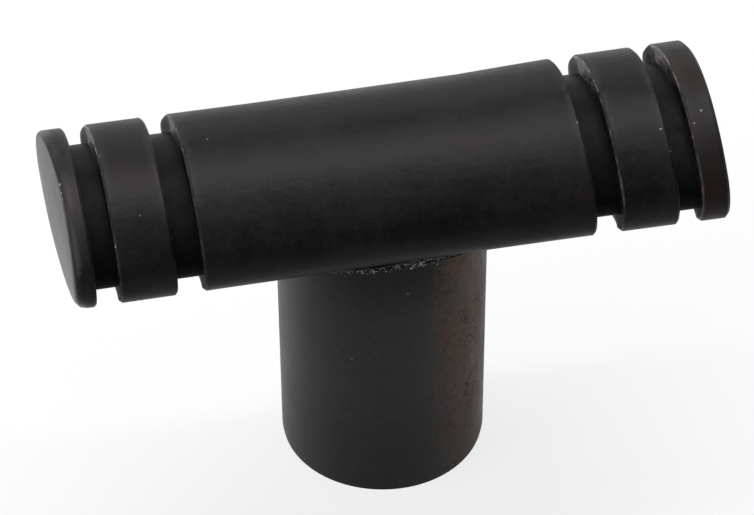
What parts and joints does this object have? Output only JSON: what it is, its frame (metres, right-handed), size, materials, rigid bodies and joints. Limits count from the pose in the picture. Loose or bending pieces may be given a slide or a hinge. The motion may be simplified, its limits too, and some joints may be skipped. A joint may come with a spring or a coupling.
{
  "type": "bar knob",
  "caption": "Pull knob with a grooved oval cross bar brazed on a plain round stem, fixed by a screw into a tapped hole in the foot.",
  "frame": {"origin": "centre of the foot's flat face, where the screw's axis meets the surface that the knob is fixed to", "axes": "+X along the cross bar, +Y across the bar, +Z along the stem, out of the surface towards the hand"},
  "size_m": [0.0588, 0.0208, 0.0365],
  "materials": {
    "bar_finish": "near-black satin, hand-rubbed, worn bright on the rims",
    "stem_finish": "near-black satin with fine scratches and a brown tint",
    "filler": "dark rough filler with pale specks"
  },
  "bodies": {
    "root": {"bar": "bar_finish", "stem": "stem_finish", "braze_seam": "filler"}
  },
  "joints": []
}
